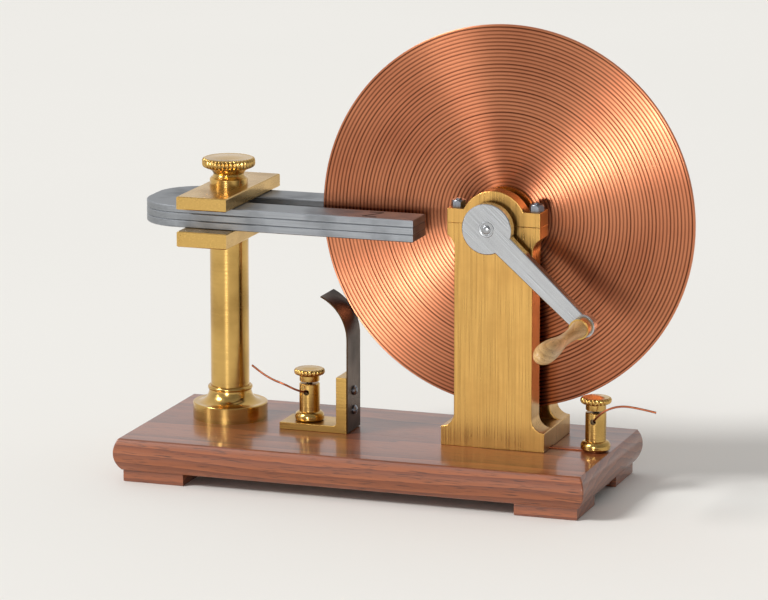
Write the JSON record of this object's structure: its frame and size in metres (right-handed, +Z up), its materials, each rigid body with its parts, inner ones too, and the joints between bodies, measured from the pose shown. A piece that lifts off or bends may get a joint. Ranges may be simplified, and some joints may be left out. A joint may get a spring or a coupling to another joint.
{
  "type": "faraday disk generator",
  "caption": "Hand-cranked copper disc turning between the poles of clamped horseshoe magnets, with a rim brush and wire terminals on a wooden board.",
  "frame": {"origin": "on the ground, under the middle of the whole outline, the two wire leads not counted", "axes": "+X from the magnets to the disc, +Y away from the crank, +Z up"},
  "size_m": [0.3544, 0.1876, 0.2886],
  "materials": {
    "mahogany": "polished mahogany with a straight grain",
    "boxwood": "turned and waxed wood",
    "lacquered_brass": "turned and lacquered brass",
    "cast_brass": "cast brass, draw-filed along its height",
    "bronze": "turned bronze",
    "turned_copper": "copper faced on a lathe, with fine concentric grooves",
    "soft_copper": "drawn copper, slightly dulled",
    "magnet_steel": "hardened steel, ground and dark",
    "bright_steel": "polished steel",
    "blued_steel": "blued steel fasteners",
    "spring_brass": "hard rolled brass sheet"
  },
  "bodies": {
    "stand": {"base_board": "mahogany", "feet": "mahogany", "foot_screws": "blued_steel", "column": "lacquered_brass", "column_rod": "blued_steel", "column_washer": "blued_steel", "column_nut": "blued_steel", "lower_clamp_plate": "lacquered_brass", "upper_clamp_plate": "lacquered_brass", "bearing_frame": "cast_brass", "frame_bolts": "blued_steel", "front_bearing_cap": "cast_brass", "rear_bearing_cap": "cast_brass", "cap_studs": "blued_steel", "cap_nuts": "blued_steel", "front_bush_upper": "bronze", "front_bush_lower": "bronze", "rear_bush_upper": "bronze", "rear_bush_lower": "bronze", "brush_bracket": "lacquered_brass", "bracket_dowel": "blued_steel", "contact_strip": "spring_brass", "strip_screws": "blued_steel", "bracket_terminal_post": "lacquered_brass", "bracket_terminal_nut": "lacquered_brass", "base_terminal_post": "lacquered_brass", "base_terminal_nut": "lacquered_brass", "connecting_strip": "soft_copper", "bracket_lead": "soft_copper", "base_lead": "soft_copper"},
    "rotor": {"copper_disc": "turned_copper", "shaft": "bright_steel", "front_hub": "lacquered_brass", "rear_hub": "lacquered_brass", "hub_screws": "blued_steel", "hub_pin": "blued_steel", "shaft_collar": "bright_steel", "collar_screw": "blued_steel", "crank_arm": "bright_steel", "crank_pin": "blued_steel", "handle_spindle": "bright_steel"},
    "handle": {"handle_grip": "boxwood", "handle_ferrule": "lacquered_brass"},
    "magnets": {"top_magnet": "magnet_steel", "middle_magnet": "magnet_steel", "bottom_magnet": "magnet_steel"},
    "collar": {"clamp_collar": "lacquered_brass"},
    "knob": {"clamp_knob": "lacquered_brass"},
    "bracket_stem": {"bracket_terminal_screw": "blued_steel"},
    "bracket_thumb": {"bracket_terminal_head": "lacquered_brass"},
    "base_stem": {"base_terminal_screw": "blued_steel"},
    "base_thumb": {"base_terminal_head": "lacquered_brass"}
  },
  "joints": [
    {"name": "crank_turn", "type": "hinge", "parent": "stand", "child": "rotor", "pos_m": [0.05725, -0.0018, 0.1686], "axis": [0, 1, 0], "continuous": true},
    {"name": "grip_spin", "type": "hinge", "parent": "rotor", "child": "handle", "pos_m": [0.11879, -0.0018, 0.1126], "axis": [0, 1, 0], "continuous": true},
    {"name": "magnet_slide", "type": "slide", "parent": "stand", "child": "magnets", "axis": [1, 0, 0], "range_m": [-0.045, 0.012]},
    {"name": "clamp_lift", "type": "slide", "parent": "stand", "child": "collar", "axis": [0, 0, 1], "range_m": [0, 0.005]},
    {"name": "clamp_turn", "type": "hinge", "parent": "collar", "child": "knob", "pos_m": [-0.12655, 0.0408, 0.1779], "axis": [0, 0, 1], "range_deg": [0, 1440]},
    {"name": "bracket_stem_lift", "type": "slide", "parent": "stand", "child": "bracket_stem", "axis": [0, 0, 1], "range_m": [0, 0.0028]},
    {"name": "bracket_thumb_turn", "type": "hinge", "parent": "bracket_stem", "child": "bracket_thumb", "pos_m": [-0.06925, 0.03095, 0.0513], "axis": [0, 0, 1], "range_deg": [0, 1440]},
    {"name": "base_stem_lift", "type": "slide", "parent": "stand", "child": "base_stem", "axis": [0, 0, 1], "range_m": [0, 0.0028]},
    {"name": "base_thumb_turn", "type": "hinge", "parent": "base_stem", "child": "base_thumb", "pos_m": [0.11905, 0.0288, 0.0476], "axis": [0, 0, 1], "range_deg": [0, 1440]}
  ],
  "couplings": [
    {"joint": "clamp_lift", "follows": "clamp_turn", "m_per_rad": 0.0001989},
    {"joint": "bracket_stem_lift", "follows": "bracket_thumb_turn", "m_per_rad": 0.0001114},
    {"joint": "base_stem_lift", "follows": "base_thumb_turn", "m_per_rad": 0.0001114}
  ]
}
